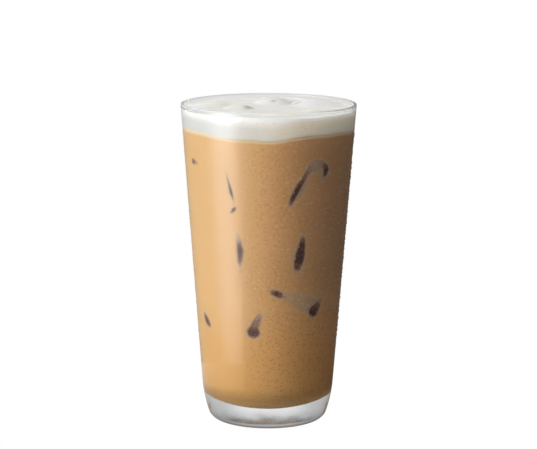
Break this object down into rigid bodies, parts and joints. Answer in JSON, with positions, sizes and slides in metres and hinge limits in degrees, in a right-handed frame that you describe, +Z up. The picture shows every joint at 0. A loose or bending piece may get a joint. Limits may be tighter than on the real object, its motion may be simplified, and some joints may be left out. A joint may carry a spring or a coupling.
{
  "type": "iced milk coffee in a glass",
  "caption": "Iced flat white in a tapered clear tumbler: milky coffee over ice, with a thick layer of white milk foam up to the lip.",
  "frame": {"origin": "middle of the foot's underside, on the surface that the glass stands on", "axes": "+Z up along the axis of the glass; -Y is the front, and +X is to the right of someone who looks at the front"},
  "size_m": [0.082, 0.082, 0.1501],
  "materials": {
    "glass": "clear soda-lime glass, fire-polished, misted with fine beads of condensation",
    "coffee": "opaque milky coffee, light tan, with darker marks where ice touches the glass",
    "foam": "dense white milk foam, matt, faintly cream"
  },
  "bodies": {
    "root": {"glass": "glass", "coffee": "coffee", "foam": "foam"}
  },
  "joints": []
}
